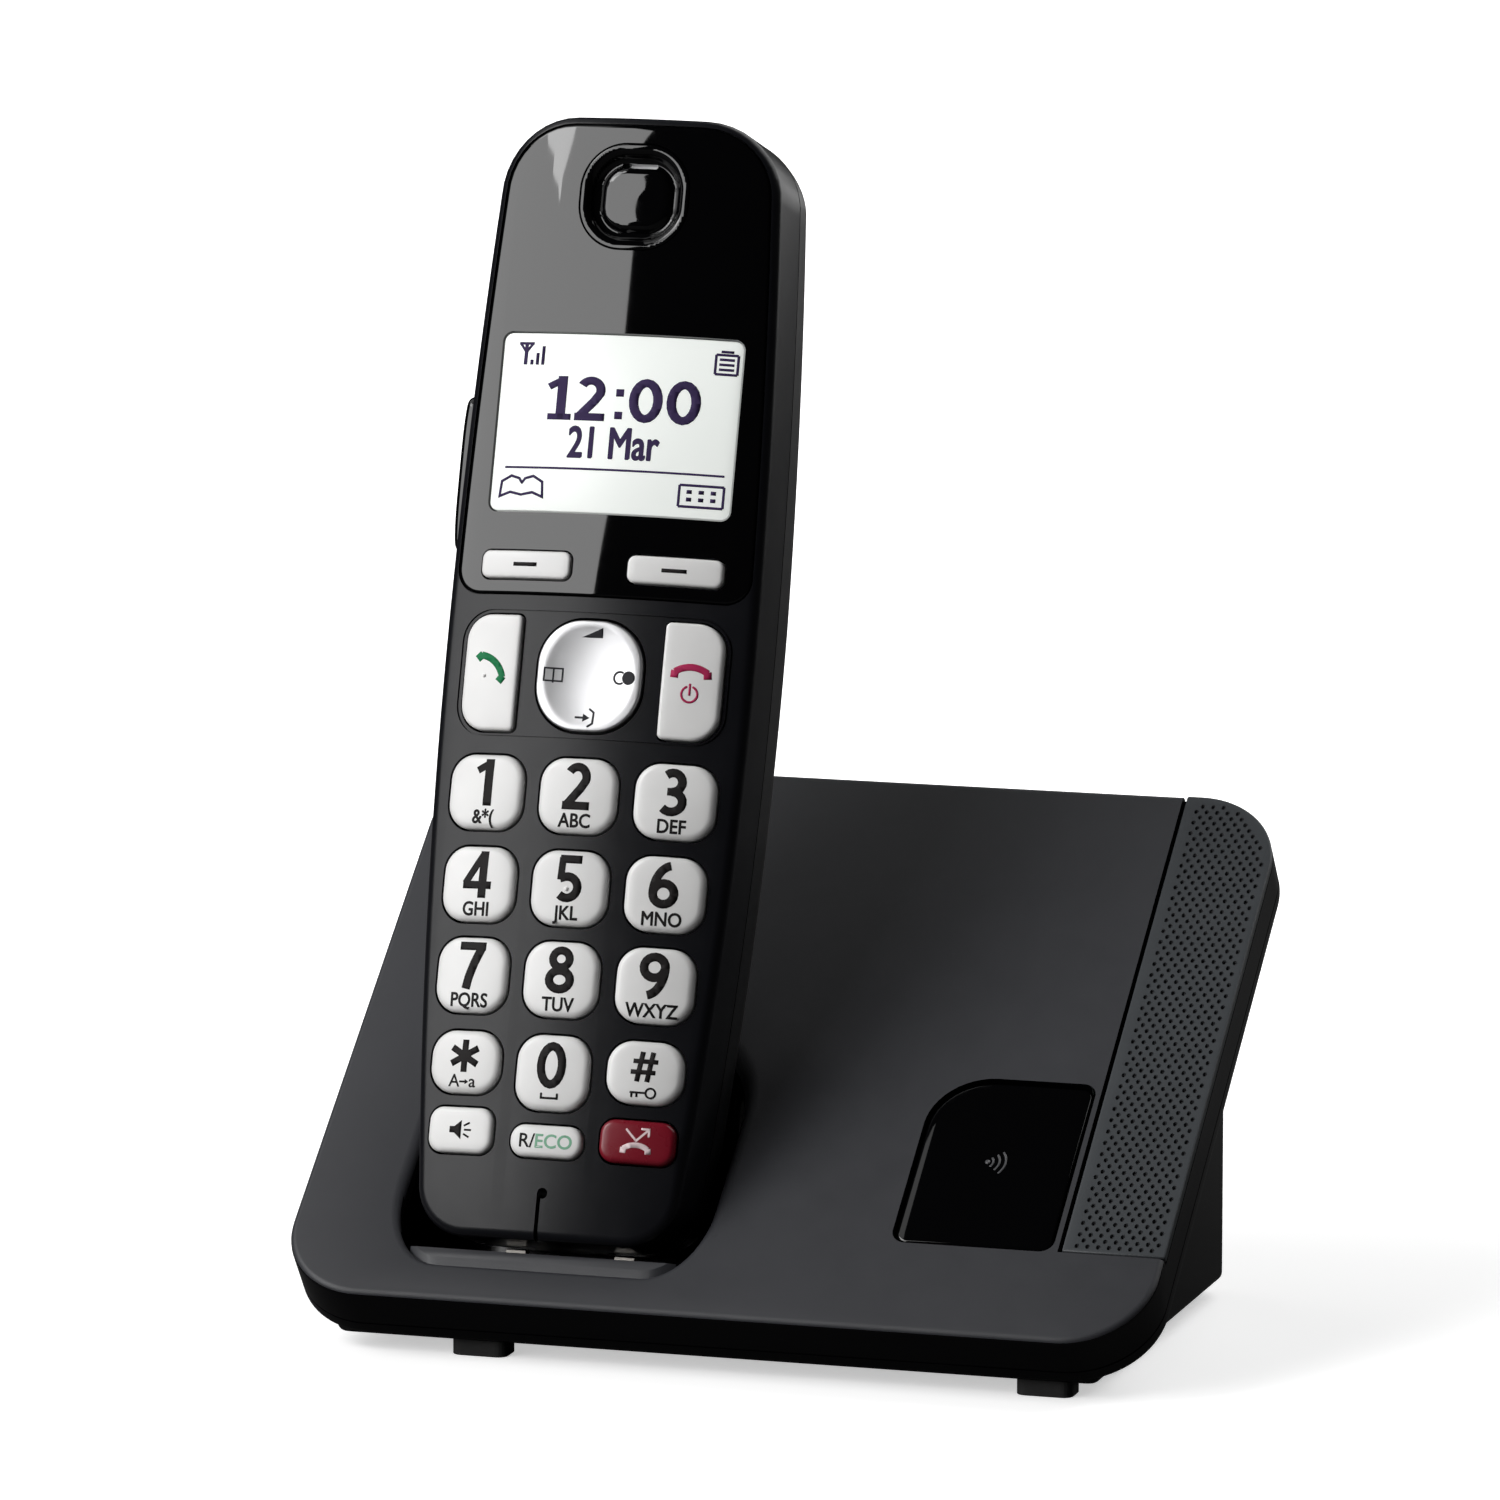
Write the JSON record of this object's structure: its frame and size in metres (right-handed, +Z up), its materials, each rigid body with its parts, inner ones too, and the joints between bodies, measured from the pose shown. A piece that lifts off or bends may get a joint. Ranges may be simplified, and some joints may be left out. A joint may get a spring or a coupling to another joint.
{
  "type": "cordless phone with base",
  "caption": "Cordless telephone handset with large keys and a display, standing in a sloping charging base with a locator button.",
  "frame": {"origin": "centre of the bounding box at the level the feet stand on", "axes": "+Z up, -Y towards the low front edge of the base and the handset's face, +X to the right of someone facing it"},
  "size_m": [0.141, 0.0954, 0.1896],
  "materials": {
    "base_satin": "satin fine texture, dark grey",
    "base_gloss": "gloss black",
    "trim_grey": "fine dotted texture",
    "gloss_black": "high gloss black",
    "rear_satin": "satin black",
    "key_white": "satin off-white with printed legends",
    "key_red": "semi-gloss dark red",
    "silver": "silver paint on plastic",
    "screen": "clear gloss over a pale grey display",
    "rubber_foot": "matt",
    "key_rubber": "matt silicone",
    "inner_plastic": "moulded",
    "circuit_board": "green solder mask",
    "battery": "printed plastic sleeve",
    "contact_metal": "nickel plated",
    "module_metal": "stamped",
    "steel": "zinc plated"
  },
  "bodies": {
    "base": {"base_top_cover": "base_satin", "base_bottom_cover": "base_gloss", "base_side_trim": "trim_grey", "locator_switch": "inner_plastic", "base_circuit_board": "circuit_board", "line_jack": "inner_plastic", "power_jack": "inner_plastic", "foot_front_left": "rubber_foot", "foot_front_right": "rubber_foot", "foot_rear_left": "rubber_foot", "foot_rear_right": "rubber_foot", "base_screw_left": "steel", "base_screw_right": "steel"},
    "locator": {"locator_button": "gloss_black"},
    "contact_left": {"charge_contact_left": "contact_metal"},
    "contact_right": {"charge_contact_right": "contact_metal"},
    "handset": {"handset_front_cover": "gloss_black", "handset_rear_cover": "rear_satin", "display_window": "gloss_black", "display_lens": "screen", "display_module": "module_metal", "earpiece_cap": "gloss_black", "earpiece_speaker": "module_metal", "microphone": "module_metal", "ringer_speaker": "module_metal", "key_mat": "key_rubber", "handset_circuit_board": "circuit_board", "battery_cell_left": "battery", "battery_cell_right": "battery", "battery_contact_low": "contact_metal", "battery_contact_top": "contact_metal", "handset_terminal_left": "contact_metal", "handset_terminal_right": "contact_metal", "cover_screw_left": "steel", "cover_screw_right": "steel"},
    "door": {"battery_door": "rear_satin"},
    "rocker_mount": {"nav_pivot": "inner_plastic"},
    "rocker": {"nav_key": "silver"},
    "side_button": {"side_key": "gloss_black"},
    "soft_left": {"soft_key_left": "key_white"},
    "soft_right": {"soft_key_right": "key_white"},
    "key_1_body": {"key_1": "key_white"},
    "key_2_body": {"key_2": "key_white"},
    "key_3_body": {"key_3": "key_white"},
    "key_4_body": {"key_4": "key_white"},
    "key_5_body": {"key_5": "key_white"},
    "key_6_body": {"key_6": "key_white"},
    "key_7_body": {"key_7": "key_white"},
    "key_8_body": {"key_8": "key_white"},
    "key_9_body": {"key_9": "key_white"},
    "key_star_body": {"key_star": "key_white"},
    "key_0_body": {"key_0": "key_white"},
    "key_hash_body": {"key_hash": "key_white"},
    "key_speakerphone_body": {"key_speakerphone": "key_white"},
    "key_recall_body": {"key_recall": "key_white"},
    "key_call_block_body": {"key_call_block": "key_red"},
    "key_talk_body": {"key_talk": "key_white"},
    "key_off_body": {"key_off": "key_white"}
  },
  "joints": [
    {"name": "handset_lift", "type": "slide", "parent": "base", "child": "handset", "axis": [0, 0.3007, 0.9537], "range_m": [0, 0.085]},
    {"name": "locator_press", "type": "slide", "parent": "base", "child": "locator", "axis": [0, 0.6157, -0.788], "range_m": [0, 0.001], "stiffness_N_per_m": 300},
    {"name": "contact_left_press", "type": "slide", "parent": "base", "child": "contact_left", "axis": [0, -0.3007, -0.9537], "range_m": [0, 0.001], "stiffness_N_per_m": 200},
    {"name": "contact_right_press", "type": "slide", "parent": "base", "child": "contact_right", "axis": [0, -0.3007, -0.9537], "range_m": [0, 0.001], "stiffness_N_per_m": 200},
    {"name": "door_slide", "type": "slide", "parent": "handset", "child": "door", "axis": [0, -0.3007, -0.9537], "range_m": [0, 0.004]},
    {"name": "key_1_press", "type": "slide", "parent": "handset", "child": "key_1_body", "axis": [0, 0.9537, -0.3007], "range_m": [0, 0.0007], "stiffness_N_per_m": 500},
    {"name": "key_2_press", "type": "slide", "parent": "handset", "child": "key_2_body", "axis": [0, 0.9537, -0.3007], "range_m": [0, 0.0007], "stiffness_N_per_m": 500},
    {"name": "key_3_press", "type": "slide", "parent": "handset", "child": "key_3_body", "axis": [0, 0.9537, -0.3007], "range_m": [0, 0.0007], "stiffness_N_per_m": 500},
    {"name": "key_4_press", "type": "slide", "parent": "handset", "child": "key_4_body", "axis": [0, 0.9537, -0.3007], "range_m": [0, 0.0007], "stiffness_N_per_m": 500},
    {"name": "key_5_press", "type": "slide", "parent": "handset", "child": "key_5_body", "axis": [0, 0.9537, -0.3007], "range_m": [0, 0.0007], "stiffness_N_per_m": 500},
    {"name": "key_6_press", "type": "slide", "parent": "handset", "child": "key_6_body", "axis": [0, 0.9537, -0.3007], "range_m": [0, 0.0007], "stiffness_N_per_m": 500},
    {"name": "key_7_press", "type": "slide", "parent": "handset", "child": "key_7_body", "axis": [0, 0.9537, -0.3007], "range_m": [0, 0.0007], "stiffness_N_per_m": 500},
    {"name": "key_8_press", "type": "slide", "parent": "handset", "child": "key_8_body", "axis": [0, 0.9537, -0.3007], "range_m": [0, 0.0007], "stiffness_N_per_m": 500},
    {"name": "key_9_press", "type": "slide", "parent": "handset", "child": "key_9_body", "axis": [0, 0.9537, -0.3007], "range_m": [0, 0.0007], "stiffness_N_per_m": 500},
    {"name": "key_star_press", "type": "slide", "parent": "handset", "child": "key_star_body", "axis": [0, 0.9537, -0.3007], "range_m": [0, 0.0007], "stiffness_N_per_m": 500},
    {"name": "key_0_press", "type": "slide", "parent": "handset", "child": "key_0_body", "axis": [0, 0.9537, -0.3007], "range_m": [0, 0.0007], "stiffness_N_per_m": 500},
    {"name": "key_hash_press", "type": "slide", "parent": "handset", "child": "key_hash_body", "axis": [0, 0.9537, -0.3007], "range_m": [0, 0.0007], "stiffness_N_per_m": 500},
    {"name": "key_speakerphone_press", "type": "slide", "parent": "handset", "child": "key_speakerphone_body", "axis": [0, 0.9537, -0.3007], "range_m": [0, 0.0007], "stiffness_N_per_m": 500},
    {"name": "key_recall_press", "type": "slide", "parent": "handset", "child": "key_recall_body", "axis": [0, 0.9537, -0.3007], "range_m": [0, 0.0007], "stiffness_N_per_m": 500},
    {"name": "key_call_block_press", "type": "slide", "parent": "handset", "child": "key_call_block_body", "axis": [0, 0.9537, -0.3007], "range_m": [0, 0.0007], "stiffness_N_per_m": 500},
    {"name": "key_talk_press", "type": "slide", "parent": "handset", "child": "key_talk_body", "axis": [0, 0.9537, -0.3007], "range_m": [0, 0.0007], "stiffness_N_per_m": 500},
    {"name": "key_off_press", "type": "slide", "parent": "handset", "child": "key_off_body", "axis": [0, 0.9537, -0.3007], "range_m": [0, 0.0007], "stiffness_N_per_m": 500},
    {"name": "soft_key_left_press", "type": "slide", "parent": "handset", "child": "soft_left", "axis": [0, 0.9537, -0.3007], "range_m": [0, 0.0006], "stiffness_N_per_m": 500},
    {"name": "soft_key_right_press", "type": "slide", "parent": "handset", "child": "soft_right", "axis": [0, 0.9537, -0.3007], "range_m": [0, 0.0006], "stiffness_N_per_m": 500},
    {"name": "side_key_press", "type": "slide", "parent": "handset", "child": "side_button", "axis": [1, 0, 0], "range_m": [0, 0.0006], "stiffness_N_per_m": 500},
    {"name": "rocker_tilt_up_down", "type": "hinge", "parent": "handset", "child": "rocker_mount", "pos_m": [-0.0283, -0.00925, 0.10259], "axis": [1, 0, 0], "range_deg": [-2, 2], "stiffness_Nm_per_rad": 0.05},
    {"name": "rocker_tilt_left_right", "type": "hinge", "parent": "rocker_mount", "child": "rocker", "pos_m": [-0.0283, -0.00925, 0.10259], "axis": [0, 0.3007, 0.9537], "range_deg": [-2, 2], "stiffness_Nm_per_rad": 0.05}
  ]
}
